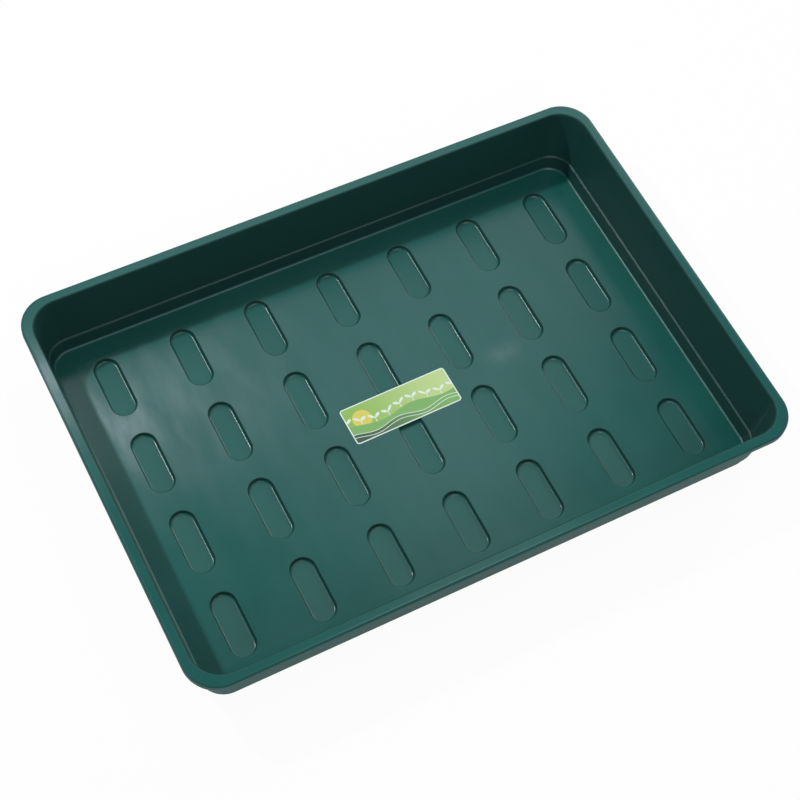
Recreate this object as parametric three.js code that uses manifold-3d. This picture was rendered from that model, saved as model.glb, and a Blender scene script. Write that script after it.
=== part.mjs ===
// An open garden tray: one moulded shell with a turned-down rim, drafted walls, a low
// ledge and a floor of shallow oblong wells, and a paper label stuck to the floor.
// Millimetres, +Z up. The origin is on the ground under the middle of the tray:
// X runs along the tray, Y across it.

import * as THREE from 'three';
import { mergeVertices } from 'three/addons/utils/BufferGeometryUtils.js';
import Module from 'manifold-3d';

// Tray, overall
const trayLength = 560;
const trayWidth = 388;
const trayHeight = 75.5;
const shellThickness = 2.2;

// Rim and its turned-down lip
const rimWidth = 9.3;
const rimCornerRadius = 30;
const rimOuterRound = 2.2;
const rimInnerRound = 1.6;
const lipDepth = 7.3;
const lipThickness = 1.8;

// Walls, with the ledge measured up from the floor
const wallDraft = THREE.MathUtils.degToRad(6.2);
const wallTopCornerRadius = 26;
const floorCornerRadius = 20;
const floorFillet = 2.5;
const ledgeHeight = 14.8;
const ledgeWidth = 1.7;

// Wells in the floor, which stand out below as feet
const wellWidth = 24.4;
const wellLength = 62.6;
const wellDepth = 4;
const wellPitchX = 72.8;
const wellPitchY = 82.4;
const wellMargin = 12;
const wellEdgeRound = 1;
const wellFillet = 2;
const footEdgeRound = 2;

// Label, stuck on by a film of glue
const labelLength = 105;
const labelWidth = 37;
const labelThickness = 0.2;
const labelCornerRadius = 3;
const labelGlue = 0.05;
const labelCentre = new THREE.Vector2(0.9, 0.8);
const labelTurn = THREE.MathUtils.degToRad(0.9);

// Fineness of the round stretches
const cornerSegments = 9;
const roundSegments = 3;
const wellRoundSegments = 2;
const wellEndSegments = 7;

// Levels that follow from the sizes above
const floorUnder = wellDepth;
const floorTop = floorUnder + shellThickness;
const wellBottom = floorTop - wellDepth;
const ledgeTop = floorTop + ledgeHeight;
const rimUnder = trayHeight - shellThickness;
const lipBottom = trayHeight - lipDepth;
const shellRun = shellThickness / Math.cos(wallDraft);

const wasm = await Module();
wasm.setup();

function solidFrom(geometry) {
  const bare = geometry.clone();
  bare.deleteAttribute('normal');
  bare.deleteAttribute('uv');
  const merged = mergeVertices(bare);
  const vertProperties = new Float32Array(merged.attributes.position.array);
  const triVerts = new Uint32Array(merged.index.array);
  return new wasm.Manifold(new wasm.Mesh({ numProp: 3, vertProperties, triVerts }));
}

function geometryFrom(solid) {
  const { vertProperties, triVerts } = solid.getMesh();
  const geometry = new THREE.BufferGeometry();
  geometry.setAttribute('position', new THREE.BufferAttribute(vertProperties, 3));
  geometry.setIndex(new THREE.BufferAttribute(triVerts, 1));
  geometry.computeVertexNormals();
  return geometry;
}

// A level outline, anticlockwise, made of the given arcs and the straight runs between them.
function outlineFrom(arcs, segments, z) {
  const flat = arcs.flatMap((arc) => arc.getPoints(segments));
  return flat.map((point) => new THREE.Vector3(point.x, point.y, z));
}

function quarterArc(x, y, radius, quarter) {
  const start = (quarter * Math.PI) / 2;
  return new THREE.EllipseCurve(x, y, radius, radius, start, start + Math.PI / 2);
}

function halfArc(x, y, radius, start) {
  return new THREE.EllipseCurve(x, y, radius, radius, start, start + Math.PI);
}

function roundedRectangle(length, width, radius, z) {
  const x = length / 2 - radius;
  const y = width / 2 - radius;
  const corners = [[x, y], [-x, y], [-x, -y], [x, -y]];
  const arcs = corners.map(([cx, cy], quarter) => quarterArc(cx, cy, radius, quarter));
  return outlineFrom(arcs, cornerSegments, z);
}

function obround(width, length, z) {
  const radius = width / 2;
  const y = length / 2 - radius;
  return outlineFrom([halfArc(0, y, radius, 0), halfArc(0, -y, radius, Math.PI)], wellEndSegments, z);
}

// A closed skin through outlines of equal count, with a flat cap on the first and the last.
function loft(outlines) {
  const count = outlines[0].length;
  const index = [];
  for (let level = 0; level + 1 < outlines.length; level++) {
    for (let i = 0; i < count; i++) {
      const here = level * count + i;
      const next = level * count + ((i + 1) % count);
      index.push(here, next, next + count, here, next + count, here + count);
    }
  }
  const last = (outlines.length - 1) * count;
  for (const [a, b, c] of THREE.ShapeUtils.triangulateShape(outlines[0], [])) {
    index.push(a, c, b);
  }
  for (const [a, b, c] of THREE.ShapeUtils.triangulateShape(outlines.at(-1), [])) {
    index.push(last + a, last + b, last + c);
  }
  const geometry = new THREE.BufferGeometry().setFromPoints(outlines.flat());
  geometry.setIndex(index);
  return geometry;
}

// Distance from the lip's outer face in to the inner wall, leaving the ledge's step out.
function draftInset(z) {
  return rimWidth + (trayHeight - z) * Math.tan(wallDraft);
}

// The wall's corners tighten from the rim down to the floor.
function wallCornerRadius(z) {
  const share = (z - floorTop) / (trayHeight - floorTop);
  return THREE.MathUtils.lerp(floorCornerRadius + ledgeWidth, wallTopCornerRadius, share);
}

// Corners on the rim's outer half run round the lip, and all others run round the inner wall.
function cornerRadius(inset, z) {
  if (inset < rimWidth / 2) {
    return rimCornerRadius - inset;
  }
  return wallCornerRadius(z) + draftInset(z) - inset;
}

// The shell's section as insets and heights: from under the floor up the outside,
// over the rim and down the inside to the floor.
function shellSection() {
  const outer = (z) => draftInset(z) - shellRun;
  const bottomRound = floorFillet + shellThickness;
  const bottomCentreZ = floorUnder + bottomRound;
  const bottomCentre = outer(bottomCentreZ) + ledgeWidth + bottomRound / Math.cos(wallDraft);
  const innerCentreZ = trayHeight - rimInnerRound;
  const innerCentre = draftInset(innerCentreZ) - rimInnerRound / Math.cos(wallDraft);
  const filletCentreZ = floorTop + floorFillet;
  const filletCentre = draftInset(filletCentreZ) + ledgeWidth + floorFillet / Math.cos(wallDraft);
  const ledgeUnder = ledgeTop - shellThickness;
  const wallAngle = Math.PI + wallDraft;

  const section = new THREE.Path();
  section.moveTo(bottomCentre, floorUnder);
  section.absarc(bottomCentre, bottomCentreZ, bottomRound, 1.5 * Math.PI, wallAngle, true);
  section.lineTo(outer(ledgeUnder) + ledgeWidth, ledgeUnder);
  section.lineTo(outer(ledgeUnder), ledgeUnder);
  section.lineTo(outer(rimUnder), rimUnder);
  section.lineTo(lipThickness, rimUnder);
  section.lineTo(lipThickness, lipBottom);
  section.lineTo(0, lipBottom);
  section.absarc(rimOuterRound, trayHeight - rimOuterRound, rimOuterRound, Math.PI, Math.PI / 2, true);
  section.absarc(innerCentre, innerCentreZ, rimInnerRound, Math.PI / 2, wallDraft, true);
  section.lineTo(draftInset(ledgeTop), ledgeTop);
  section.lineTo(draftInset(ledgeTop) + ledgeWidth, ledgeTop);
  section.absarc(filletCentre, filletCentreZ, floorFillet, wallAngle, 1.5 * Math.PI, false);
  return section;
}

// Points along the section, without the doubles where one stretch meets the next.
function sectionPoints(section, segments) {
  const tolerance = 1e-6;
  const points = section.curves.flatMap((curve) => curve.getPoints(curve.isEllipseCurve ? segments : 1));
  return points.filter((point, i) => i === 0 || point.distanceTo(points[i - 1]) > tolerance);
}

function shellGeometry() {
  const levels = sectionPoints(shellSection(), roundSegments).map((point) => {
    const inset = point.x;
    const radius = cornerRadius(inset, point.y);
    return roundedRectangle(trayLength - 2 * inset, trayWidth - 2 * inset, radius, point.y);
  });
  return loft(levels);
}

// A well's inner side, as an inset from the well's edge.
function wellSide(z) {
  const edgeCentreZ = floorTop - wellEdgeRound;
  return wellEdgeRound / Math.cos(wallDraft) + (edgeCentreZ - z) * Math.tan(wallDraft);
}

// A well's section as insets and heights: from its filleted bottom up to its rounded edge.
function wellSection() {
  const filletCentreZ = wellBottom + wellFillet;
  const filletCentre = wellSide(filletCentreZ) + wellFillet / Math.cos(wallDraft);
  const section = new THREE.Path();
  section.moveTo(filletCentre, wellBottom);
  section.absarc(filletCentre, filletCentreZ, wellFillet, 1.5 * Math.PI, Math.PI + wallDraft, true);
  section.absarc(0, floorTop - wellEdgeRound, wellEdgeRound, wallDraft, Math.PI / 2, false);
  section.lineTo(0, floorTop + shellThickness);
  return section;
}

// The section of the foot round a well, which runs up into the middle of the floor's thickness.
function footSection() {
  const outer = (z) => wellSide(z) - shellRun;
  const roundCentre = outer(footEdgeRound) + footEdgeRound / Math.cos(wallDraft);
  const footTop = floorUnder + shellThickness / 2;
  const section = new THREE.Path();
  section.moveTo(roundCentre, 0);
  section.absarc(roundCentre, footEdgeRound, footEdgeRound, 1.5 * Math.PI, Math.PI + wallDraft, true);
  section.lineTo(outer(footTop), footTop);
  return section;
}

// An oblong solid from a section of insets from a well's edge.
function oblongSolid(section) {
  const points = sectionPoints(section, wellRoundSegments);
  return solidFrom(loft(points.map(({ x, y }) => obround(wellWidth - 2 * x, wellLength - 2 * x, y))));
}

// Middles of a row of wells, as many as fit on the floor, spread evenly about zero.
function wellPlaces(floorSize, wellSize, pitch) {
  const count = 1 + Math.floor((floorSize - 2 * wellMargin - wellSize) / pitch);
  return Array.from({ length: count }, (_, i) => (i - (count - 1) / 2) * pitch);
}

function traySolid() {
  const floorInset = draftInset(floorTop) + ledgeWidth;
  const columns = wellPlaces(trayLength - 2 * floorInset, wellWidth, wellPitchX);
  const rows = wellPlaces(trayWidth - 2 * floorInset, wellLength, wellPitchY);
  const foot = oblongSolid(footSection());
  const hollow = oblongSolid(wellSection());
  let tray = solidFrom(shellGeometry());
  for (const x of columns) {
    for (const y of rows) {
      tray = tray.add(foot.translate([x, y, 0])).subtract(hollow.translate([x, y, 0]));
    }
  }
  return tray;
}

function labelGeometry() {
  return loft([
    roundedRectangle(labelLength, labelWidth, labelCornerRadius, 0),
    roundedRectangle(labelLength, labelWidth, labelCornerRadius, labelThickness),
  ]);
}

const trayPlastic = new THREE.MeshStandardMaterial({ color: 0x1f5a50, roughness: 0.3, metalness: 0 });
const labelPaper = new THREE.MeshStandardMaterial({ color: 0xb9d36a, roughness: 0.45, metalness: 0 });

const tray = new THREE.Mesh(geometryFrom(traySolid()), trayPlastic);
tray.name = 'tray';

const label = new THREE.Mesh(labelGeometry(), labelPaper);
label.name = 'label';
label.position.set(labelCentre.x, labelCentre.y, floorTop + labelGlue);
label.rotation.z = labelTurn;

const gardenTray = new THREE.Group();
gardenTray.add(tray, label);

export default gardenTray;
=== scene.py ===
"""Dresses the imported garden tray: a moulded plastic shell, its printed label and a plain studio stage."""

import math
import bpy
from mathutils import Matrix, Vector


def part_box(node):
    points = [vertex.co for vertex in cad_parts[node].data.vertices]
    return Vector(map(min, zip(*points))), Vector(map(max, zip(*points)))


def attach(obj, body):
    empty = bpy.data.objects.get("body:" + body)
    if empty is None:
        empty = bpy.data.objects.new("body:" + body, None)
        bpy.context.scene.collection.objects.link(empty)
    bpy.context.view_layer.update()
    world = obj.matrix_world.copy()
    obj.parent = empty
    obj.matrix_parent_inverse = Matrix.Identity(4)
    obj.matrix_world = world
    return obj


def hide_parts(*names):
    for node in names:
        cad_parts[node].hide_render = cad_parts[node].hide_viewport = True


bl_info = {
    "name": "Garden Tray",
    "version": (1, 0, 0),
    "blender": (4, 5, 0),
    "location": "View3D > Sidebar > Garden Tray",
    "description": "Builds an open garden tray with a printed label on a plain studio stage",
    "category": "Add Mesh",
}

from collections import namedtuple

import bmesh
import bpy
from bpy.props import FloatProperty, FloatVectorProperty, IntProperty, PointerProperty
from mathutils import Matrix, Vector

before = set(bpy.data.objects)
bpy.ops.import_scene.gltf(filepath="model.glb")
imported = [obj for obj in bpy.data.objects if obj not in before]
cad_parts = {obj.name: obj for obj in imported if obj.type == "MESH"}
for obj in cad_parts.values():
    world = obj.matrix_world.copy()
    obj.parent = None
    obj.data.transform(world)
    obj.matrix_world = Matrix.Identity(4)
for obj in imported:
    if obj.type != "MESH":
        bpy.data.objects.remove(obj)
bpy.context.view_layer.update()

TRAY_LOW, TRAY_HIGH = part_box("tray")
LABEL_LOW, LABEL_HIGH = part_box("label")
MM = 0.001

PaleMark = namedtuple("PaleMark", "middle reach strength")
# The upright zone carries painted shade on the inner walls and the wells' sides; the zone after it carries
# pale wear with a painted sheen patch and a painted rim highlight
Zones = namedtuple("Zones", "upright scuffed well level sloping ledge edge")
Hill = namedtuple("Hill", "middle height length start")
Hang = namedtuple("Hang", "azimuth elevation reach size")

# Fineness of the meshes, and flat margins that keep the roundings' shading off the flats
WELD = 0.01 * MM
SHELL_MARGIN = 0.4 * MM
WELL_MARGIN = 0.2 * MM
WELL_APRON = 1.2 * MM
LABEL_CORNER_STEPS = 12
BACKDROP_SIDES = 64
BACKDROP_CURVE_STEPS = 12

# Slow clouds and fine grain, with scales in features per metre
WAVE_DETAIL = 1.0
CLOUD_DETAIL = 2.0
CLOUD_FINENESS = 1.7
CLOUD_SPREAD = (0.2, 0.8)
GRAIN_DETAIL = 3.0
PLASTIC_CLOUDS = 9.0
PLASTIC_GRAIN = 900.0
PAPER_CLOUDS = 30.0
PAPER_GRAIN = 2500.0

# How the plastic's colour and gloss vary
CLOUD_GAIN = 1.12
CLOUD_LIFT = 0.001
# Lift of the painted shade on the inner walls and the wells' sides
PAINTED_SHADE_LIFT = 0.002
GLOSS_SWING = 0.03

# Pale marks, partly wear and partly a painted sheen patch on the back-left floor and a painted highlight on
# the left rim: middle and reach along and across the tray in metres, and strength
FLOOR_WEAR = 0.05
FLOOR_RUBS_AND_SHEEN = (
    # The first two spots paint the sheen patch on the back-left floor over wear; the third is a small pale
    # smudge right of the label
    PaleMark(middle=(-0.180, 0.085), reach=(0.085, 0.070), strength=0.42),
    PaleMark(middle=(-0.238, 0.088), reach=(0.030, 0.036), strength=1.1),
    PaleMark(middle=(0.110, 0.010), reach=(0.014, 0.009), strength=0.42),
)
# Painted highlight on the left rim, over a little wear
RIM_RUB_AND_HIGHLIGHT = PaleMark(middle=(-0.277, 0.108), reach=(0.030, 0.036), strength=1.1)
# The pale marks stop this far from the walls, so the painted sheen ends along the walls' shadows
RUB_AND_SHEEN_WALL_GAP = 19 * MM
RUB_AND_SHEEN_BLUR = 2 * MM
FLOOR_BAND = 0.2 * MM
RIM_BAND = 0.8 * MM

# Streaks that break up the rub marks and the painted sheen
STREAK_STRETCH = (1.0, 0.35, 0.0)
STREAK_SCALE = 40.0
STREAK_DETAIL = 4.0
STREAK_SPREAD = (0.3, 0.7)
STREAK_STRENGTH = (0.4, 1.3)

# Where one finish of the plastic gives way to the next, by place and by a face's normal
SHARP = 0.02 * MM
SOFT = 0.1 * MM
EDGE_GAP = 0.04 * MM
WELL_DROP = 0.3 * MM
WELL_WALL_GAP = 6 * MM
WELL_BLUR = 1 * MM
FILLET_SHARE_ON_WALL = 0.5
FILLET_SHARE_IN_WELL = 0.6
LEVEL_FROM = 0.985
LEVEL_BLUR = 0.01
TILTED_FROM = 0.2
TILTED_BLUR = 0.05
INWARD_FROM = 0.02
INWARD_BLUR = 0.01

# The label's print, in millimetres along the label and across it
PRINT_BLUR = 0.12
SUN_MIDDLE = (-37.0, 3.0)
SUN_RADIUS = 9.0
FAR_HILL = Hill(middle=-3.0, height=2.4, length=62.0, start=0.6)
NEAR_HILL = Hill(middle=-10.5, height=2.0, length=48.0, start=2.4)
FURROWS = (0.0, -3.2)
FURROW_HALF_WIDTH = 0.3
SEEDLING_SPACING = 13.0
LEAF_LEAN = math.radians(34)
LEAF_MIDDLE = (2.9, 6.4)
LEAF_HALF_SIZE = (3.1, 1.25)
STALK_HEIGHT = 5.2
STALK_HALF_WIDTH = 0.35
PAPER_ROUGHNESS = (0.38, 0.5)

# Where each lamp hangs: azimuth and elevation in degrees, distance and size in metres
LAMPS = {
    "key": Hang(azimuth=134.7, elevation=51.1, reach=1.93, size=0.09),
    "overhead": Hang(azimuth=330, elevation=75, reach=1.2, size=0.6),
    "front": Hang(azimuth=258, elevation=45, reach=3.0, size=1.5),
    "side": Hang(azimuth=30, elevation=30, reach=2.0, size=1.0),
    "sheen": Hang(azimuth=63.1, elevation=50.6, reach=2.264, size=1.3),
    "rim": Hang(azimuth=99.4, elevation=59.2, reach=2.038, size=0.22),
    "glow": Hang(azimuth=44.8, elevation=64.8, reach=1.94, size=0.34),
}
COOL_LAMPS = ("sheen", "rim", "glow")
PLAIN_WHITE = (1, 1, 1)
SENSOR_WIDTH = 36.0


# Properties

def number(name, description, default, **options):
    """A number, with its limits, subtype and unit where they fit."""
    return FloatProperty(name=name, description=description, default=default, **options)


def distance(name, description, default):
    """A length in metres that is shown in the scene's own unit."""
    return number(name, description, default, subtype="DISTANCE", unit="LENGTH")


def angle(name, description, default):
    """An angle in radians that is shown in degrees."""
    return number(name, description, default, subtype="ANGLE", unit="ROTATION")


def share(name, description, default):
    """A number from zero to one."""
    return number(name, description, default, min=0.0, max=1.0, subtype="FACTOR")


def power(name, description, default):
    """A lamp's power in watts."""
    return number(name, description, default, min=0.0, subtype="POWER", unit="POWER")


def whole(name, description, default, least):
    """A whole number."""
    return IntProperty(name=name, description=description, default=default, min=least)


def tint(name, description, default):
    """A colour in linear light."""
    return FloatVectorProperty(
        name=name, description=description, default=default, size=3, min=0.0, max=1.0, subtype="COLOR"
    )


def spot(name, description, default):
    """A place in metres."""
    return FloatVectorProperty(
        name=name, description=description, default=default, size=3, subtype="XYZ", unit="LENGTH"
    )


class TrayShellSettings(bpy.types.PropertyGroup):
    """Sizes of the rim, the walls and the floor's edge."""

    length: distance("Length", "Overall length over the rim", TRAY_HIGH.x - TRAY_LOW.x)
    width: distance("Width", "Overall width over the rim", TRAY_HIGH.y - TRAY_LOW.y)
    height: distance("Height", "From the feet to the top of the rim", TRAY_HIGH.z)
    shell: distance("Shell", "Thickness of the floor and the walls", 2.2 * MM)
    rim_width: distance("Rim width", "From the lip's outer face to the top of the inner wall", 9.3 * MM)
    rim_corner: distance("Rim corner", "Radius of the rim's corners outside", 30 * MM)
    rim_outer_round: distance("Outer round", "Rounding of the rim's outer edge", 2.2 * MM)
    rim_inner_round: distance("Inner round", "Rounding of the rim's inner edge", 1.6 * MM)
    lip_depth: distance("Lip depth", "How far the rim turns down", 7.3 * MM)
    lip_thickness: distance("Lip thickness", "Thickness of the turned-down lip", 1.8 * MM)
    draft: angle("Draft", "Lean of the walls from upright", math.radians(6.2))
    wall_top_corner: distance("Wall corner", "Radius of the inner wall's corners at the rim", 26 * MM)
    floor_corner: distance("Floor corner", "Radius of the floor's corners", 20 * MM)
    floor_fillet: distance("Floor fillet", "Hollow rounding between floor and wall", 2.5 * MM)
    ledge_height: distance("Ledge height", "Height of the ledge over the floor", 14.8 * MM)
    ledge_width: distance("Ledge width", "Width of the ledge's step", 1.7 * MM)
    ledge_round: distance("Ledge round", "Rounding of the ledge's edges", 0.8 * MM)
    small_round: distance("Small round", "Rounding of the lip's lower edge and the edges outside", 0.5 * MM)
    corner_steps: whole("Corner steps", "Faces round each corner", 20, 4)
    round_steps: whole("Round steps", "Faces across each rounded edge", 6, 2)


class WellSettings(bpy.types.PropertyGroup):
    """Sizes and spacing of the wells in the floor, which stand out below as feet."""

    width: distance("Width", "Size of a well along the tray", 24.4 * MM)
    length: distance("Length", "Size of a well across the tray", 62.6 * MM)
    depth: distance("Depth", "Depth of a well, and height of its foot", 4 * MM)
    pitch_x: distance("Pitch along", "Spacing of the wells along the tray", 72.8 * MM)
    pitch_y: distance("Pitch across", "Spacing of the wells across the tray", 82.4 * MM)
    columns: whole("Columns", "Wells along the tray", 7, 2)
    rows: whole("Rows", "Wells across the tray", 4, 2)
    edge_round: distance("Edge round", "Rounding of a well's upper edge", 1 * MM)
    fillet: distance("Fillet", "Hollow rounding at the bottom of a well", 2 * MM)
    foot_round: distance("Foot round", "Rounding of a foot's lower edge", 2 * MM)
    end_steps: whole("End steps", "Faces round half of a well's end", 10, 3)


class PlasticSettings(bpy.types.PropertyGroup):
    """Finish of the moulded plastic."""

    colour: tint("Colour", "Colour of the plastic", (0.0081, 0.0980, 0.0862))
    roughness: share("Roughness", "Softness of the gloss on the flats", 0.2)
    well_roughness: share("Well roughness", "Softness of the gloss on the wells' bottoms", 0.36)
    fillet_roughness: share("Fillet roughness", "Softness of the gloss on the wells' hollow roundings", 0.25)
    wall_roughness: share("Wall roughness", "Softness of the gloss on the walls", 0.55)
    ledge_roughness: share(
        "Ledge roughness", "Softness of the gloss on the roundings of the ledge and of the floor's edge", 0.33
    )
    edge_roughness: share(
        "Edge roughness", "Softness of the gloss on the rounded edges of the rim and the wells", 0.85
    )
    # Painted shade: the inner walls and the wells' sides keep only this share of the colour
    wall_shade: share("Wall shade", "Share of the colour that inner walls and wells' sides keep", 0.55)
    # The pale marks stand partly for wear and partly for a painted sheen patch and a painted rim highlight
    scuff_and_sheen_colour: tint("Scuff colour", "Colour of the pale scuffs", (0.29, 0.37, 0.40))
    scuff_and_sheen_strength: share("Scuff strength", "How far the plastic turns pale where it is scuffed most", 0.45)
    waviness: distance("Waviness", "Height of the slow waves that moulding leaves in flat faces", 0.25 * MM)
    grain: distance("Grain", "Height of the fine grain of the moulded skin", 0.004 * MM)
    refraction: number("Refraction", "Refractive index, which sets the strength of the gloss", 1.45, min=1.0)


class LabelSettings(bpy.types.PropertyGroup):
    """Sizes, place and printed colours of the label."""

    length: distance("Length", "Long side of the label", 105 * MM)
    width: distance("Width", "Short side of the label", 37 * MM)
    corner: distance("Corner", "Radius of the label's corners", 3 * MM)
    border: distance("Border", "Width of the unprinted edge", 1.1 * MM)
    turn: angle("Turn", "Turn of the label from the tray's length", math.radians(0.9))
    paper: tint("Paper", "Colour of the unprinted edge and the light print", (0.80, 0.92, 0.82))
    meadow: tint("Meadow", "Printed green at the left", (0.29, 0.53, 0.11))
    lime: tint("Lime", "Pale printed green at the right", (0.55, 0.72, 0.30))
    leaf: tint("Leaf", "Middle printed green of the far ground", (0.22, 0.47, 0.14))
    pine: tint("Pine", "Dark printed green of the near ground", (0.035, 0.09, 0.06))
    sun: tint("Sun", "Printed yellow", (0.74, 0.66, 0.13))
    cockle: distance("Cockle", "Height of the slow waves in the glued paper", 0.25 * MM)
    fibre: distance("Fibre", "Height of the paper's fibres", 0.003 * MM)


class StageSettings(bpy.types.PropertyGroup):
    """Camera and light."""

    camera_place: spot("Camera place", "Where the camera stands", (-0.438397, -0.630804, 1.368510))
    camera_aim: spot("Camera aim", "Point in the middle of the picture", (0.004375, 0.008362, 0.0015))
    camera_roll: angle("Camera roll", "Turn of the camera about its line of sight", math.radians(8.5251))
    lens: number("Lens", "Focal length", 79.61, subtype="DISTANCE_CAMERA")
    key: power("Key", "Small lamp behind the left corner, which draws the shadows inside", 16.5)
    overhead: power("Overhead", "Lamp over the tray's near right part", 2.8)
    front: power("Front", "Wide lamp before the tray, which lights the far walls", 16.5)
    side: power("Side", "Low wide lamp at the right", 10.0)
    sheen: power("Sheen", "Wide panel behind, which the floor and the back rim mirror", 4.6)
    rim: power("Rim", "Small panel that the left rim mirrors", 0.75)
    glow: power("Glow", "Small faint panel that the middle of the near floor mirrors", 0.25)
    daylight: tint("Daylight", "Cool tint of the panels that the gloss mirrors", (0.86, 0.93, 1.0))
    sky: number("Sky", "Strength of the light from all round", 0.04, min=0.0)
    sky_mirrored: number("Sky mirrored", "Strength of the sky where a gloss mirrors it", 0.25, min=0.0)
    backdrop_colour: tint("Backdrop colour", "Colour of the stage", (0.97, 0.97, 0.97))
    backdrop_white: share("Backdrop white", "Share of plain white where the camera sees the stage", 0.955)
    backdrop_mirrored: share("Backdrop mirrored", "Share of plain white where gloss mirrors the stage", 0.5)
    backdrop_reach: distance("Backdrop reach", "How far the stage runs level before it curves up", 4.5)
    backdrop_curve: distance("Backdrop curve", "Radius of the curve from the stage's floor to its wall", 1.5)
    backdrop_height: distance("Backdrop height", "Height of the stage's wall", 3.0)


# Meshes

def rounded_line(corners, steps, margin):
    """Points along a line of (across, up, radius) corners, each rounded by its radius.

    A point stands a margin away from each rounding, so that long flats stay flat in smooth shading.
    """
    stretches = [[Vector(corners[0][:2])]]
    for before, here, after in zip(corners, corners[1:], corners[2:]):
        tip = Vector(here[:2])
        radius = here[2]
        back = (Vector(before[:2]) - tip).normalized()
        ahead = (Vector(after[:2]) - tip).normalized()
        half = back.angle(ahead) / 2
        cut = radius / math.tan(half)
        centre = tip + (back + ahead).normalized() * (radius / math.sin(half))
        arm = tip + back * cut - centre
        turn = arm.angle_signed(tip + ahead * cut - centre)
        stretches.append([centre + Matrix.Rotation(-turn * i / steps, 2) @ arm for i in range(steps + 1)])
    stretches.append([Vector(corners[-1][:2])])

    points = list(stretches[0])
    for stretch in stretches[1:]:
        run = stretch[0] - points[-1]
        if run.length > 4 * margin:
            inset = run.normalized() * margin
            points += [points[-1] + inset, stretch[0] - inset]
        points += stretch
    return points


def arc(centre_x, centre_y, radius, start, sweep, steps):
    """Points along a level arc, both ends included."""
    angles = [start + sweep * i / steps for i in range(steps + 1)]
    return [(centre_x + radius * math.cos(a), centre_y + radius * math.sin(a)) for a in angles]


def rounded_rectangle(length, width, radius, steps):
    """An anticlockwise outline from the middle of its right side, with a point in the middle of each side."""
    x = length / 2 - radius
    y = width / 2 - radius
    middles = [(length / 2, 0), (0, width / 2), (-length / 2, 0), (0, -width / 2)]
    corners = [(x, y), (-x, y), (-x, -y), (x, -y)]
    outline = []
    for quarter, (middle, corner) in enumerate(zip(middles, corners)):
        outline += [middle] + arc(*corner, radius, quarter * math.pi / 2, math.pi / 2, steps)
    return outline


def oblong(width, length, steps):
    """An anticlockwise outline with round ends, from the middle of its right side."""
    radius = width / 2
    y = length / 2 - radius
    upper = arc(0, y, radius, 0, math.pi, 2 * steps)
    lower = arc(0, -y, radius, math.pi, math.pi, 2 * steps)
    return [(radius, 0)] + upper + [(-radius, 0)] + lower


def add_ring(bm, outline, z):
    """New points along an outline at one height."""
    return [bm.verts.new((x, y, z)) for x, y in outline]


def skin(bm, rings):
    """Faces between rings of equal count. They face outwards where anticlockwise rings rise."""
    for lower, upper in zip(rings, rings[1:]):
        for i in range(len(lower)):
            j = (i + 1) % len(lower)
            bm.faces.new((lower[i], lower[j], upper[j], upper[i]))


def quarter_run(ring, quarter):
    """The points of one quarter of a ring, both ends included."""
    count = len(ring) // 4
    return (ring + ring[:1])[quarter * count:(quarter + 1) * count + 1]


def fill_between(bm, outer, inner, facing_up):
    """Four flat faces between two rings, one for each quarter, split along the two middle lines."""
    for quarter in range(4):
        edge = quarter_run(outer, quarter) + quarter_run(inner, quarter)[::-1]
        bm.faces.new(edge if facing_up else edge[::-1])


def mesh_object(name, bm):
    """An object at the origin with the mesh, smooth all over and in its first material slot."""
    for face in bm.faces:
        face.smooth = True
        face.material_index = 0
    mesh = bpy.data.meshes.new(name)
    bm.to_mesh(mesh)
    bm.free()
    piece = bpy.data.objects.new(name, mesh)
    bpy.context.scene.collection.objects.link(piece)
    return piece


def remove_object(piece):
    """Take an object and its mesh out of the scene."""
    mesh = piece.data
    bpy.data.objects.remove(piece)
    bpy.data.meshes.remove(mesh)


# Nodes

def new_node(tree, kind, **settings):
    """A node with its options set by name."""
    node = tree.nodes.new(kind)
    for name, value in settings.items():
        setattr(node, name, value)
    return node


def feed(tree, value, socket):
    """Link an output to a socket, or set the socket to a plain value."""
    if isinstance(value, bpy.types.NodeSocket):
        tree.links.new(value, socket)
    else:
        socket.default_value = value


def maths(tree, operation, *values):
    """The result of a maths node over outputs and plain numbers."""
    node = new_node(tree, "ShaderNodeMath", operation=operation)
    for value, socket in zip(values, node.inputs):
        feed(tree, value, socket)
    return node.outputs[0]


def square_sum(tree, first, second):
    """The sum of two squares."""
    return maths(tree, "MULTIPLY_ADD", first, first, maths(tree, "MULTIPLY", second, second))


def ramp(tree, value, start, end, kind="LINEAR"):
    """Zero up to the start value, one from the end value on, and a steady change between them."""
    node = new_node(tree, "ShaderNodeMapRange", interpolation_type=kind)
    node.inputs["From Min"].default_value = start
    node.inputs["From Max"].default_value = end
    tree.links.new(value, node.inputs["Value"])
    return node.outputs["Result"]


def above(tree, value, level, blur):
    """One where a value is above a level, with a soft change there."""
    return ramp(tree, value, level - blur, level + blur)


def below(tree, value, level, blur):
    """One where a value is below a level, with a soft change there."""
    return ramp(tree, value, level + blur, level - blur)


def between(tree, value, low, high):
    """One where a value lies between two levels."""
    away = maths(tree, "ABSOLUTE", maths(tree, "SUBTRACT", value, (low + high) / 2))
    return below(tree, away, (high - low) / 2, SHARP)


def from_to(tree, mask, start, end):
    """A number that goes from the start to the end value as the mask goes from zero to one."""
    return maths(tree, "MULTIPLY_ADD", mask, end - start, start)


def overprint(tree, under, colour, mask):
    """A colour laid over an output or over another colour, where the mask is one."""
    mix = new_node(tree, "ShaderNodeMix", data_type="RGBA")
    feed(tree, under if isinstance(under, bpy.types.NodeSocket) else (*under, 1), mix.inputs["A"])
    mix.inputs["B"].default_value = (*colour, 1)
    tree.links.new(mask, mix.inputs["Factor"])
    return mix.outputs["Result"]


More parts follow.
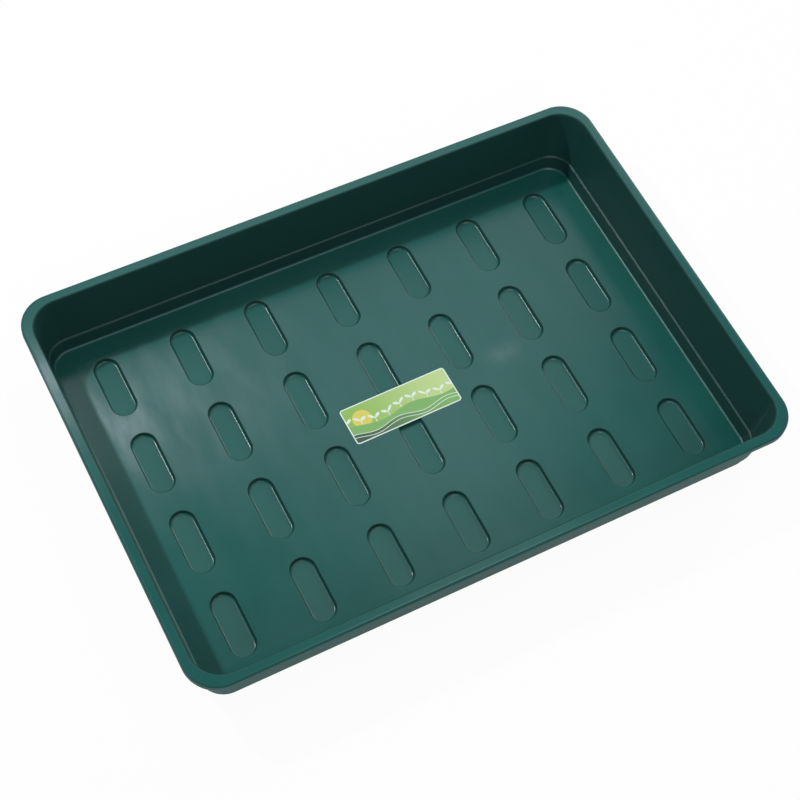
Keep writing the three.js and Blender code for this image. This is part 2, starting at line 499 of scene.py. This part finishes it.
def split_axes(tree, vector):
    """The three parts of a vector."""
    split = new_node(tree, "ShaderNodeSeparateXYZ")
    tree.links.new(vector, split.inputs["Vector"])
    return split.outputs["X"], split.outputs["Y"], split.outputs["Z"]


def noise(tree, vector, scale, detail):
    """Cloudy noise over a surface."""
    node = new_node(tree, "ShaderNodeTexNoise")
    node.inputs["Detail"].default_value = detail
    tree.links.new(vector, node.inputs["Vector"])
    feed(tree, scale, node.inputs["Scale"])
    return node.outputs["Fac"]


def bump(tree, height, depth, normal=None):
    """Normals that follow a height of up to the given depth, over other normals if they are given."""
    node = new_node(tree, "ShaderNodeBump")
    node.inputs["Distance"].default_value = depth
    tree.links.new(height, node.inputs["Height"])
    if normal is not None:
        tree.links.new(normal, node.inputs["Normal"])
    return node.outputs["Normal"]


def new_material(name):
    """A material with a Principled shader, and its tree."""
    material = bpy.data.materials.new(name)
    material.use_nodes = True
    tree = material.node_tree
    return material, tree, tree.nodes["Principled BSDF"]


# Shared effects

def surface_group(name, outputs):
    """An empty shader group over places on a surface, with a scale."""
    tree = bpy.data.node_groups.new(name, "ShaderNodeTree")
    tree.interface.new_socket(name="Vector", in_out="INPUT", socket_type="NodeSocketVector")
    tree.interface.new_socket(name="Scale", in_out="INPUT", socket_type="NodeSocketFloat")
    for output in outputs:
        tree.interface.new_socket(name=output, in_out="OUTPUT", socket_type="NodeSocketFloat")
    given = tree.nodes.new("NodeGroupInput").outputs
    return tree, given["Vector"], given["Scale"], tree.nodes.new("NodeGroupOutput").inputs


def cloud_group():
    """Slow clouds over a surface: a height for waves and a mask for uneven colour and gloss."""
    tree, vector, scale, result = surface_group("slow_clouds", ["Height", "Mask"])
    waves = noise(tree, vector, scale, WAVE_DETAIL)
    clouds = noise(tree, vector, maths(tree, "MULTIPLY", scale, CLOUD_FINENESS), CLOUD_DETAIL)
    tree.links.new(waves, result["Height"])
    tree.links.new(ramp(tree, clouds, *CLOUD_SPREAD), result["Mask"])
    return tree


def grain_group():
    """Height of a fine grain, for moulded skin and for paper."""
    tree, vector, scale, result = surface_group("fine_grain", ["Height"])
    tree.links.new(noise(tree, vector, scale, GRAIN_DETAIL), result["Height"])
    return tree


def place_group(tree, group, vector, scale):
    """The outputs of a shared effect with its own scale."""
    node = new_node(tree, "ShaderNodeGroup", node_tree=group)
    node.inputs["Scale"].default_value = scale
    tree.links.new(vector, node.inputs["Vector"])
    return node.outputs


def surface_groups():
    """The two shared effects, made once."""
    clouds = bpy.data.node_groups.get("slow_clouds") or cloud_group()
    grain = bpy.data.node_groups.get("fine_grain") or grain_group()
    return clouds, grain


# The tray

def draft_inset(shell, z):
    """From the lip's outer face in to the inner wall, leaving the ledge's step out."""
    return shell.rim_width + (shell.height - z) * math.tan(shell.draft)


def corner_radius(shell, floor_top, inset, z):
    """Corners on the rim's outer half run round the lip, and all others run round the inner wall."""
    if inset < shell.rim_width / 2:
        return shell.rim_corner - inset
    rise = (z - floor_top) / (shell.height - floor_top)
    low = shell.floor_corner + shell.ledge_width
    wall = low + (shell.wall_top_corner - low) * rise
    return wall + draft_inset(shell, z) - inset


def shell_section(shell, floor_under):
    """The shell's section as insets and heights, from under the floor over the rim and down to the floor."""
    floor_top = floor_under + shell.shell
    run = shell.shell / math.cos(shell.draft)
    ledge_top = floor_top + shell.ledge_height
    ledge_under = ledge_top - shell.shell
    rim_under = shell.height - shell.shell
    lip_bottom = shell.height - shell.lip_depth
    floor_edge = draft_inset(shell, floor_top) + shell.ledge_width
    flat = floor_edge + shell.floor_fillet
    small = shell.small_round

    def outer(z):
        return draft_inset(shell, z) - run

    return [
        (flat, floor_under, 0),
        (outer(floor_under) + shell.ledge_width, floor_under, shell.floor_fillet + shell.shell),
        (outer(ledge_under) + shell.ledge_width, ledge_under, small),
        (outer(ledge_under), ledge_under, small),
        (outer(rim_under), rim_under, 2 * small),
        (shell.lip_thickness, rim_under, 2 * small),
        (shell.lip_thickness, lip_bottom, small),
        (0, lip_bottom, small),
        (0, shell.height, shell.rim_outer_round),
        (shell.rim_width, shell.height, shell.rim_inner_round),
        (draft_inset(shell, ledge_top), ledge_top, shell.ledge_round),
        (draft_inset(shell, ledge_top) + shell.ledge_width, ledge_top, shell.ledge_round),
        (floor_edge, floor_top, shell.floor_fillet),
        (flat, floor_top, 0),
    ]


def well_sections(shell, wells):
    """Sections of one well and of the foot below it, as insets from the well's edge and heights."""
    floor_top = wells.depth + shell.shell
    lean = wells.depth * math.tan(shell.draft)
    side = wells.edge_round * math.tan(math.pi / 4 - shell.draft / 2)
    well = [
        (-WELL_APRON, floor_top, 0),
        (side, floor_top, wells.edge_round),
        (side + lean, floor_top - wells.depth, wells.fillet),
        (side + lean + 2 * wells.fillet, floor_top - wells.depth, 0),
    ]
    outer = side - shell.shell * (1 / math.cos(shell.draft) - math.tan(shell.draft))
    foot = [
        (outer - WELL_APRON, wells.depth, 0),
        (outer, wells.depth, wells.edge_round / 2),
        (outer + lean, 0, wells.foot_round),
        (outer + lean + 2 * wells.foot_round, 0, 0),
    ]
    return well, foot


def well_tile(shell, wells):
    """One tile of the floor: a well seen from above and its foot seen from below, with open sides."""
    x, y = wells.pitch_x / 2, wells.pitch_y / 2
    square = [(x, 0), (x, y), (0, y), (-x, y), (-x, 0), (-x, -y), (0, -y), (x, -y)]
    bm = bmesh.new()
    for section, facing_up in zip(well_sections(shell, wells), (True, False)):
        line = rounded_line(section, shell.round_steps, WELL_MARGIN)
        rings = []
        for inset, z in line:
            outline = oblong(wells.width - 2 * inset, wells.length - 2 * inset, wells.end_steps)
            rings.append(add_ring(bm, outline, z))
        edge = add_ring(bm, square, line[0].y)
        fill_between(bm, edge, rings[0], facing_up)
        skin(bm, rings if facing_up else [ring[::-1] for ring in rings])
        bm.faces.new(rings[-1] if facing_up else rings[-1][::-1])
    return mesh_object("well_tile", bm)


def well_grid_tree():
    """Geometry nodes that lay one tile on a grid and weld the tiles together."""
    tree = bpy.data.node_groups.new("well_grid", "GeometryNodeTree")
    sockets = {}
    for name, kind in (
        ("Tile", "NodeSocketGeometry"),
        ("Columns", "NodeSocketInt"),
        ("Rows", "NodeSocketInt"),
        ("Pitch Along", "NodeSocketFloat"),
        ("Pitch Across", "NodeSocketFloat"),
        ("Material", "NodeSocketMaterial"),
    ):
        sockets[name] = tree.interface.new_socket(name=name, in_out="INPUT", socket_type=kind).identifier
    tree.interface.new_socket(name="Floor", in_out="OUTPUT", socket_type="NodeSocketGeometry")

    given = tree.nodes.new("NodeGroupInput").outputs
    grid = tree.nodes.new("GeometryNodeMeshGrid")
    for count, pitch, axis in (("Columns", "Pitch Along", "X"), ("Rows", "Pitch Across", "Y")):
        gaps = maths(tree, "SUBTRACT", given[count], 1)
        tree.links.new(maths(tree, "MULTIPLY", gaps, given[pitch]), grid.inputs["Size " + axis])
        tree.links.new(given[count], grid.inputs["Vertices " + axis])

    place = tree.nodes.new("GeometryNodeInstanceOnPoints")
    realize = tree.nodes.new("GeometryNodeRealizeInstances")
    weld = tree.nodes.new("GeometryNodeMergeByDistance")
    weld.inputs["Distance"].default_value = WELD
    finish = tree.nodes.new("GeometryNodeSetMaterial")
    result = tree.nodes.new("NodeGroupOutput")
    tree.links.new(grid.outputs["Mesh"], place.inputs["Points"])
    tree.links.new(given["Tile"], place.inputs["Instance"])
    tree.links.new(place.outputs["Instances"], realize.inputs["Geometry"])
    tree.links.new(realize.outputs["Geometry"], weld.inputs["Geometry"])
    tree.links.new(weld.outputs["Geometry"], finish.inputs["Geometry"])
    tree.links.new(given["Material"], finish.inputs["Material"])
    tree.links.new(finish.outputs["Geometry"], result.inputs["Floor"])
    return tree, sockets


def well_grid_mesh(shell, wells, material):
    """The floor with all its wells as a plain mesh."""
    tile = well_tile(shell, wells)
    tree, sockets = well_grid_tree()
    grid = tile.modifiers.new("Well grid", "NODES")
    grid.node_group = tree
    grid[sockets["Columns"]] = wells.columns
    grid[sockets["Rows"]] = wells.rows
    grid[sockets["Pitch Along"]] = wells.pitch_x
    grid[sockets["Pitch Across"]] = wells.pitch_y
    grid[sockets["Material"]] = material
    evaluated = tile.evaluated_get(bpy.context.evaluated_depsgraph_get())
    mesh = bpy.data.meshes.new_from_object(evaluated)
    remove_object(tile)
    return mesh


def grid_outline(wells):
    """The well grid's edge, anticlockwise from the middle of its right side, in half steps of the pitch."""
    x_steps, y_steps = wells.columns, wells.rows
    x, y = wells.pitch_x / 2, wells.pitch_y / 2
    right = [(x * x_steps, y * i) for i in range(-y_steps, y_steps)]
    top = [(-x * i, y * y_steps) for i in range(-x_steps, x_steps)]
    left = [(-px, -py) for px, py in right]
    bottom = [(-px, -py) for px, py in top]
    outline = right + top + left + bottom
    return outline[y_steps:] + outline[:y_steps]


def tray_piece(shell, wells, material):
    """The whole shell as one closed skin."""
    floor_top = wells.depth + shell.shell
    bm = bmesh.new()
    rings = []
    for inset, z in rounded_line(shell_section(shell, wells.depth), shell.round_steps, SHELL_MARGIN):
        length, width = shell.length - 2 * inset, shell.width - 2 * inset
        radius = corner_radius(shell, floor_top, inset, z)
        rings.append(add_ring(bm, rounded_rectangle(length, width, radius, shell.corner_steps), z))
    skin(bm, rings)

    outline = grid_outline(wells)
    for ring, facing_up in ((rings[0], False), (rings[-1], True)):
        fill_between(bm, ring, add_ring(bm, outline, ring[0].co.z), facing_up)

    floor = well_grid_mesh(shell, wells, material)
    bm.from_mesh(floor)
    bpy.data.meshes.remove(floor)
    bmesh.ops.remove_doubles(bm, verts=bm.verts, dist=WELD)
    gaps = [edge for edge in bm.edges if not edge.is_manifold]
    if gaps:
        raise RuntimeError(f"the tray's skin isn't closed: {len(gaps)} open edges")
    piece = mesh_object("tray_shell", bm)
    piece.data.materials.append(material)
    return piece


# The tray's plastic

def soft_spot(tree, along, across, mark):
    """A soft oval spot, one in its middle."""
    parts = []
    for value, middle, reach in zip((along, across), mark.middle, mark.reach):
        parts.append(maths(tree, "DIVIDE", maths(tree, "SUBTRACT", value, middle), reach))
    return maths(tree, "EXPONENT", maths(tree, "MULTIPLY", square_sum(tree, *parts), -1.0))


def floor_area(tree, shell, floor_top, along, across, gap, blur):
    """One over the floor, up to a gap from the walls."""
    inset = draft_inset(shell, floor_top) + shell.ledge_width + gap
    areas = []
    for value, size in ((along, shell.length), (across, shell.width)):
        areas.append(below(tree, maths(tree, "ABSOLUTE", value), size / 2 - inset, blur))
    return maths(tree, "MULTIPLY", *areas)


def streak_mask(tree, place):
    """Streaks across the tray, which break up the wear and the painted sheen."""
    stretch = new_node(tree, "ShaderNodeMapping")
    stretch.inputs["Scale"].default_value = STREAK_STRETCH
    tree.links.new(place, stretch.inputs["Vector"])
    streaks = noise(tree, stretch.outputs["Vector"], STREAK_SCALE, STREAK_DETAIL)
    return ramp(tree, streaks, *STREAK_SPREAD, "SMOOTHSTEP")


def scuff_and_sheen_mask(tree, shell, floor_top, place):
    """Pale marks: light wear over the floor, most where a sheen patch is painted on the back-left floor, and
    a painted highlight over one stretch of the left rim.
    """
    along, across, height = split_axes(tree, place)
    wear_and_sheen = FLOOR_WEAR
    for mark in FLOOR_RUBS_AND_SHEEN:
        wear_and_sheen = maths(tree, "MULTIPLY_ADD", soft_spot(tree, along, across, mark), mark.strength, wear_and_sheen)
    on_floor = between(tree, height, floor_top - FLOOR_BAND, floor_top + FLOOR_BAND)
    area = floor_area(tree, shell, floor_top, along, across, RUB_AND_SHEEN_WALL_GAP, RUB_AND_SHEEN_BLUR)
    wear_and_sheen = maths(tree, "MULTIPLY", wear_and_sheen, maths(tree, "MULTIPLY", on_floor, area))

    # Painted highlight on one stretch of the left rim, over a little wear
    on_rim = between(tree, height, shell.height - RIM_BAND, shell.height + RIM_BAND)
    rim_wear_and_highlight = maths(tree, "MULTIPLY", on_rim, soft_spot(tree, along, across, RIM_RUB_AND_HIGHLIGHT))
    wear_and_sheen = maths(tree, "MULTIPLY_ADD", rim_wear_and_highlight, RIM_RUB_AND_HIGHLIGHT.strength, wear_and_sheen)
    return maths(tree, "MULTIPLY", wear_and_sheen, from_to(tree, streak_mask(tree, place), *STREAK_STRENGTH))


def facing_middle(tree, place, normal):
    """One on faces that look towards the tray's middle, and zero on level faces and outside."""
    flat = new_node(tree, "ShaderNodeVectorMath", operation="MULTIPLY")
    flat.inputs[1].default_value = (1, 1, 0)
    tree.links.new(normal, flat.inputs[0])
    outwards = new_node(tree, "ShaderNodeVectorMath", operation="DOT_PRODUCT")
    tree.links.new(flat.outputs["Vector"], outwards.inputs[0])
    tree.links.new(place, outwards.inputs[1])
    return below(tree, outwards.outputs["Value"], -INWARD_FROM, INWARD_BLUR)


def plastic_zones(tree, wells, shell, place, normal):
    """Masks of the places where the plastic's finish differs, and where shade and sheen are painted into its
    colour.
    """
    along, across, height = split_axes(tree, place)
    upwards = split_axes(tree, normal)[2]
    floor_top = wells.depth + shell.shell
    wall_foot = floor_top + FILLET_SHARE_ON_WALL * shell.floor_fillet
    hollow = shell.shell + FILLET_SHARE_IN_WELL * wells.fillet
    ledge_top = floor_top + shell.ledge_height + shell.ledge_round

    level = above(tree, maths(tree, "ABSOLUTE", upwards), LEVEL_FROM, LEVEL_BLUR)
    facing_up = above(tree, upwards, 0.0, TILTED_BLUR)
    tilted = above(tree, upwards, TILTED_FROM, TILTED_BLUR)
    area = floor_area(tree, shell, floor_top, along, across, WELL_WALL_GAP, WELL_BLUR)
    floor = maths(tree, "MULTIPLY", facing_up, area)

    wall_band = between(tree, height, wall_foot + EDGE_GAP, shell.height - EDGE_GAP)
    wall = maths(tree, "MULTIPLY", wall_band, facing_middle(tree, place, normal))
    side_band = between(tree, height, hollow + EDGE_GAP, floor_top - EDGE_GAP)
    well_side = maths(tree, "MULTIPLY", side_band, floor)
    over_hollow = above(tree, height, hollow, SHARP)
    rim_edge = above(tree, height, shell.height - shell.rim_inner_round, SOFT)
    return Zones(
        # Inner walls and wells' sides, where painted shade darkens the colour
        upright=maths(tree, "MAXIMUM", wall, well_side),
        # Pale wear with a painted sheen patch and a painted rim highlight
        scuffed=scuff_and_sheen_mask(tree, shell, floor_top, place),
        well=maths(tree, "MULTIPLY", floor, below(tree, height, floor_top - WELL_DROP, SOFT)),
        level=level,
        sloping=maths(tree, "MULTIPLY", maths(tree, "SUBTRACT", 1.0, level), over_hollow),
        ledge=maths(tree, "MULTIPLY", tilted, below(tree, height, ledge_top, SOFT)),
        edge=maths(tree, "MAXIMUM", floor, rim_edge),
    )


def plastic_colour(tree, plastic, zones, clouds):
    """The plastic's colour: lighter in the clouds, pale with wear and a painted sheen, and darkened by
    painted shade on the inner walls and the wells' sides.
    """
    lighter = [min(1, CLOUD_GAIN * c + CLOUD_LIFT) for c in plastic.colour]
    painted_wall_shade = [plastic.wall_shade * c + PAINTED_SHADE_LIFT for c in plastic.colour]
    # Pale wear with a painted sheen patch on the back-left floor and a painted highlight on the left rim
    scuffs_and_sheen = maths(tree, "MULTIPLY", zones.scuffed, plastic.scuff_and_sheen_strength)
    colour = overprint(tree, plastic.colour, lighter, clouds)
    colour = overprint(tree, colour, plastic.scuff_and_sheen_colour, scuffs_and_sheen)
    # Painted shade: the inner walls and the wells' sides are darkened in their colour
    return overprint(tree, colour, painted_wall_shade, zones.upright)


def plastic_roughness(tree, plastic, zones, clouds):
    """Softness of the gloss: uneven on the flats, softer in the wells, and softest on walls and edges."""
    flats = from_to(tree, clouds, plastic.roughness - GLOSS_SWING, plastic.roughness + GLOSS_SWING)
    in_well = from_to(tree, zones.level, plastic.fillet_roughness, plastic.well_roughness)
    on_wall = from_to(tree, zones.ledge, plastic.wall_roughness, plastic.ledge_roughness)
    on_edge = maths(tree, "MULTIPLY", zones.edge, plastic.edge_roughness)
    slopes = maths(tree, "MULTIPLY", zones.sloping, maths(tree, "MAXIMUM", on_wall, on_edge))
    matt = maths(tree, "MAXIMUM", maths(tree, "MULTIPLY", zones.well, in_well), slopes)
    return maths(tree, "MAXIMUM", matt, flats)


def plastic_material(plastic, wells, shell, clouds, grain):
    """Moulded plastic with slow waves and a fine grain, whose colour and gloss change from zone to zone, with
    painted shade on the inner walls and a painted sheen in its colour.
    """
    material, tree, shader = new_material("tray_plastic_green")
    surface = new_node(tree, "ShaderNodeTexCoord").outputs
    place = surface["Object"]
    zones = plastic_zones(tree, wells, shell, place, surface["Normal"])
    cloud = place_group(tree, clouds, place, PLASTIC_CLOUDS)
    fine = place_group(tree, grain, place, PLASTIC_GRAIN)
    waves = bump(tree, cloud["Height"], plastic.waviness)
    links = tree.links
    links.new(plastic_colour(tree, plastic, zones, cloud["Mask"]), shader.inputs["Base Color"])
    links.new(plastic_roughness(tree, plastic, zones, cloud["Mask"]), shader.inputs["Roughness"])
    links.new(bump(tree, fine["Height"], plastic.grain, waves), shader.inputs["Normal"])
    shader.inputs["IOR"].default_value = plastic.refraction
    return material


# The label

def label_piece(label, material):
    """A thin sheet with rounded corners, where the frame has its label."""
    centre = (LABEL_LOW + LABEL_HIGH) / 2
    place = Matrix.Translation((centre.x, centre.y, 0)) @ Matrix.Rotation(label.turn, 4, "Z")
    low, high = LABEL_LOW.z, LABEL_HIGH.z
    bevel = (high - low) / 3
    margin = 4 * bevel
    bm = bmesh.new()
    rings = []
    for inset, z in ((0, low), (0, high - bevel), (bevel, high), (margin, high)):
        length, width = label.length - 2 * inset, label.width - 2 * inset
        outline = rounded_rectangle(length, width, label.corner - inset, LABEL_CORNER_STEPS)
        rings.append(add_ring(bm, outline, z))
    skin(bm, rings)
    bm.faces.new(rings[0][::-1])
    bm.faces.new(rings[-1])
    bmesh.ops.transform(bm, matrix=place, verts=bm.verts)
    piece = mesh_object("label_sheet", bm)
    piece.data.materials.append(material)
    return piece


def label_plane(tree, label):
    """Places on the label in millimetres from its middle, along it and across it."""
    centre = (LABEL_LOW + LABEL_HIGH) / 2
    mapping = new_node(tree, "ShaderNodeMapping", vector_type="TEXTURE")
    mapping.inputs["Location"].default_value = (centre.x, centre.y, 0)
    mapping.inputs["Rotation"].default_value = (0, 0, label.turn)
    mapping.inputs["Scale"].default_value = (MM, MM, MM)
    tree.links.new(new_node(tree, "ShaderNodeTexCoord").outputs["Object"], mapping.inputs["Vector"])
    return split_axes(tree, mapping.outputs["Vector"])[:2]


def inside(tree, away):
    """One where a distance from a printed edge is below zero."""
    return below(tree, away, 0.0, PRINT_BLUR)


def printed_area(tree, label, along, across):
    """One inside the unprinted edge."""
    radius = (label.corner - label.border) / MM
    over = []
    for value, side in ((along, label.length), (across, label.width)):
        straight = (side / 2 - label.border) / MM - radius
        beyond = maths(tree, "SUBTRACT", maths(tree, "ABSOLUTE", value), straight)
        over.append(maths(tree, "MAXIMUM", beyond, 0.0))
    reach = maths(tree, "SQRT", square_sum(tree, *over))
    return inside(tree, maths(tree, "SUBTRACT", reach, radius))


def hill_line(tree, along, hill):
    """Height of a rolling line over the label's length."""
    wave = maths(tree, "SINE", maths(tree, "MULTIPLY_ADD", along, 2 * math.pi / hill.length, hill.start))
    return maths(tree, "MULTIPLY_ADD", wave, hill.height, hill.middle)


def sun_disc(tree, along, across):
    """One on a round sun."""
    offsets = [maths(tree, "SUBTRACT", value, middle) for value, middle in zip((along, across), SUN_MIDDLE)]
    away = maths(tree, "SQRT", square_sum(tree, *offsets))
    return inside(tree, maths(tree, "SUBTRACT", away, SUN_RADIUS))


def seedling_row(tree, along, rise):
    """One on a row of two-leaved seedlings, from places along it and the rise over the ground."""
    half = SEEDLING_SPACING / 2
    local = maths(tree, "ABSOLUTE", maths(tree, "WRAP", along, half, -half))
    out = maths(tree, "SUBTRACT", local, LEAF_MIDDLE[0])
    up = maths(tree, "SUBTRACT", rise, LEAF_MIDDLE[1])
    cosine, sine = math.cos(LEAF_LEAN), math.sin(LEAF_LEAN)
    lengthwise = maths(tree, "MULTIPLY_ADD", out, cosine, maths(tree, "MULTIPLY", up, sine))
    sideways = maths(tree, "MULTIPLY_ADD", out, -sine, maths(tree, "MULTIPLY", up, cosine))
    shares = [maths(tree, "DIVIDE", *pair) for pair in zip((lengthwise, sideways), LEAF_HALF_SIZE)]
    leaf = maths(tree, "SUBTRACT", square_sum(tree, *shares), 1.0)

    stalk_middle = STALK_HEIGHT / 2
    from_middle = maths(tree, "ABSOLUTE", maths(tree, "SUBTRACT", rise, stalk_middle))
    past_end = maths(tree, "SUBTRACT", from_middle, stalk_middle)
    past_side = maths(tree, "SUBTRACT", local, STALK_HALF_WIDTH)
    stalk = maths(tree, "MAXIMUM", past_side, past_end)
    return inside(tree, maths(tree, "MINIMUM", leaf, stalk))


def label_print(tree, label):
    """Rolling ground in greens with a row of seedlings, a low sun and a pale edge."""
    along, across = label_plane(tree, label)
    end = label.length / 2 / MM
    rightwards = ramp(tree, along, -end, end, "SMOOTHSTEP")
    leftwards = maths(tree, "SUBTRACT", 1.0, rightwards)
    over_far = maths(tree, "SUBTRACT", across, hill_line(tree, along, FAR_HILL))
    over_near = maths(tree, "SUBTRACT", across, hill_line(tree, along, NEAR_HILL))

    colour = overprint(tree, label.meadow, label.lime, rightwards)
    colour = overprint(tree, colour, label.sun, sun_disc(tree, along, across))
    colour = overprint(tree, colour, label.leaf, inside(tree, over_far))
    colour = overprint(tree, colour, label.pine, maths(tree, "MULTIPLY", inside(tree, over_near), leftwards))
    for rise in FURROWS:
        away = maths(tree, "ABSOLUTE", maths(tree, "SUBTRACT", over_near, rise))
        furrow = inside(tree, maths(tree, "SUBTRACT", away, FURROW_HALF_WIDTH))
        colour = overprint(tree, colour, label.paper, furrow)
    colour = overprint(tree, colour, label.paper, seedling_row(tree, along, over_far))
    bare = maths(tree, "SUBTRACT", 1.0, printed_area(tree, label, along, across))
    return overprint(tree, colour, label.paper, bare)


def label_material(label, clouds, grain):
    """Coated paper with a printed design, slightly cockled over its glue."""
    material, tree, shader = new_material("label_paper_printed")
    place = new_node(tree, "ShaderNodeTexCoord").outputs["Object"]
    cloud = place_group(tree, clouds, place, PAPER_CLOUDS)
    fibres = place_group(tree, grain, place, PAPER_GRAIN)
    waves = bump(tree, cloud["Height"], label.cockle)
    links = tree.links
    links.new(label_print(tree, label), shader.inputs["Base Color"])
    links.new(from_to(tree, cloud["Mask"], *PAPER_ROUGHNESS), shader.inputs["Roughness"])
    links.new(bump(tree, fibres["Height"], label.fibre, waves), shader.inputs["Normal"])
    return material


# The stage

def ray_masks(tree):
    """One on rays from the camera, and one on rays that gloss or glass sends on."""
    path = new_node(tree, "ShaderNodeLightPath").outputs
    return path["Is Camera Ray"], maths(tree, "MAXIMUM", path["Is Glossy Ray"], path["Is Transmission Ray"])


def backdrop_material(stage):
    """Pale matt paint that shows as white, with the tray's shadow left on it."""
    material, tree, shader = new_material("studio_white")
    shader.inputs["Base Color"].default_value = (*stage.backdrop_colour, 1)
    shader.inputs["Roughness"].default_value = 1.0
    shader.inputs["Specular IOR Level"].default_value = 0.0
    seen, mirrored = ray_masks(tree)
    seen = maths(tree, "MULTIPLY", seen, stage.backdrop_white)
    mirrored = maths(tree, "MULTIPLY", mirrored, stage.backdrop_mirrored)
    white = new_node(tree, "ShaderNodeEmission")
    blend = new_node(tree, "ShaderNodeMixShader")
    tree.links.new(maths(tree, "MAXIMUM", seen, mirrored), blend.inputs["Fac"])
    tree.links.new(shader.outputs["BSDF"], blend.inputs[1])
    tree.links.new(white.outputs["Emission"], blend.inputs[2])
    tree.links.new(blend.outputs["Shader"], tree.nodes["Material Output"].inputs["Surface"])
    return material


def stage_backdrop(stage):
    """A wide round floor that curves up into a wall."""
    curve = stage.backdrop_curve
    section = [(stage.backdrop_reach + curve, stage.backdrop_height)]
    section += arc(stage.backdrop_reach, curve, curve, 0, -math.pi / 2, BACKDROP_CURVE_STEPS)
    bm = bmesh.new()
    rings = []
    for radius, z in section:
        circle = arc(0, 0, radius, 0, 2 * math.pi, BACKDROP_SIDES)[:-1]
        rings.append(add_ring(bm, circle, z))
    skin(bm, rings)
    bm.faces.new(rings[-1])
    backdrop = mesh_object("studio_backdrop", bm)
    backdrop.data.materials.append(backdrop_material(stage))


def stage_world(stage):
    """Faint even light from all round, which a gloss mirrors as a pale room."""
    world = bpy.data.worlds.new("studio_world")
    world.use_nodes = True
    tree = world.node_tree
    background = tree.nodes["Background"]
    background.inputs["Color"].default_value = (*stage.daylight, 1)
    mirrored = ray_masks(tree)[1]
    tree.links.new(from_to(tree, mirrored, stage.sky, stage.sky_mirrored), background.inputs["Strength"])
    bpy.context.scene.world = world


def stage_lamp(name, colour, watts, hang):
    """A round soft lamp on a dome over the tray, turned towards the tray's middle."""
    lamp = bpy.data.lights.new(name + "_lamp", "AREA")
    lamp.shape = "DISK"
    lamp.size = hang.size
    lamp.energy = watts
    lamp.color = colour
    holder = bpy.data.objects.new(name + "_lamp", lamp)
    around, up = math.radians(hang.azimuth), math.radians(hang.elevation)
    level = math.cos(up)
    place = hang.reach * Vector((level * math.cos(around), level * math.sin(around), math.sin(up)))
    holder.location = place
    holder.rotation_euler = (-place).to_track_quat("-Z", "Y").to_euler()
    bpy.context.scene.collection.objects.link(holder)


def stage_camera(stage):
    """The camera at the photograph's place, turned to its aim and rolled about its line of sight."""
    place = Vector(stage.camera_place)
    look = (Vector(stage.camera_aim) - place).to_track_quat("-Z", "Y").to_matrix()
    camera = bpy.data.cameras.new("studio_camera")
    camera.lens = stage.lens
    camera.sensor_width = SENSOR_WIDTH
    holder = bpy.data.objects.new("studio_camera", camera)
    turned = look @ Matrix.Rotation(stage.camera_roll, 3, "Z")
    holder.matrix_world = Matrix.Translation(place) @ turned.to_4x4()
    bpy.context.scene.collection.objects.link(holder)
    bpy.context.scene.camera = holder


# Operators

class GARDENTRAY_OT_shell(bpy.types.Operator):
    """Build the moulded shell with its rim, walls and wells"""

    bl_idname = "garden_tray.shell"
    bl_label = "Tray Shell"

    def execute(self, context):
        scene = context.scene
        material = plastic_material(scene.tray_plastic, scene.tray_wells, scene.tray_shell, *surface_groups())
        piece = tray_piece(scene.tray_shell, scene.tray_wells, material)
        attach(piece, "root")
        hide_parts("tray")
        return {"FINISHED"}


class GARDENTRAY_OT_label(bpy.types.Operator):
    """Build the printed label on the tray's floor"""

    bl_idname = "garden_tray.label"
    bl_label = "Printed Label"

    def execute(self, context):
        label = context.scene.tray_label
        piece = label_piece(label, label_material(label, *surface_groups()))
        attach(piece, "root")
        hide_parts("label")
        return {"FINISHED"}


class GARDENTRAY_OT_stage(bpy.types.Operator):
    """Set up the floor, the light and the camera"""

    bl_idname = "garden_tray.stage"
    bl_label = "Studio Stage"

    def execute(self, context):
        stage = context.scene.tray_stage
        context.scene.view_settings.view_transform = "Standard"
        stage_backdrop(stage)
        stage_world(stage)
        for name, hang in LAMPS.items():
            colour = stage.daylight if name in COOL_LAMPS else PLAIN_WHITE
            stage_lamp(name, colour, getattr(stage, name), hang)
        stage_camera(stage)
        return {"FINISHED"}


class GARDENTRAY_PT_panel(bpy.types.Panel):
    """Sizes, finishes and buttons for the garden tray"""

    bl_label = "Garden Tray"
    bl_idname = "GARDENTRAY_PT_panel"
    bl_space_type = "VIEW_3D"
    bl_region_type = "UI"
    bl_category = "Garden Tray"

    def draw(self, context):
        for name, settings in SETTINGS.items():
            box = self.layout.box()
            box.label(text=name.replace("_", " ").capitalize())
            for prop in settings.__annotations__:
                box.prop(getattr(context.scene, name), prop)
        for operator in OPERATORS:
            self.layout.operator(operator.bl_idname)


SETTINGS = {
    "tray_shell": TrayShellSettings,
    "tray_wells": WellSettings,
    "tray_plastic": PlasticSettings,
    "tray_label": LabelSettings,
    "tray_stage": StageSettings,
}
OPERATORS = (GARDENTRAY_OT_shell, GARDENTRAY_OT_label, GARDENTRAY_OT_stage)


def register():
    for name, settings in SETTINGS.items():
        bpy.utils.register_class(settings)
        setattr(bpy.types.Scene, name, PointerProperty(type=settings))
    for cls in (*OPERATORS, GARDENTRAY_PT_panel):
        bpy.utils.register_class(cls)


def unregister():
    for cls in reversed((*OPERATORS, GARDENTRAY_PT_panel)):
        bpy.utils.unregister_class(cls)
    for name, settings in reversed(SETTINGS.items()):
        delattr(bpy.types.Scene, name)
        bpy.utils.unregister_class(settings)


def main():
    register()
    bpy.ops.garden_tray.shell()
    bpy.ops.garden_tray.label()
    bpy.ops.garden_tray.stage()


if __name__ == "__main__":
    main()
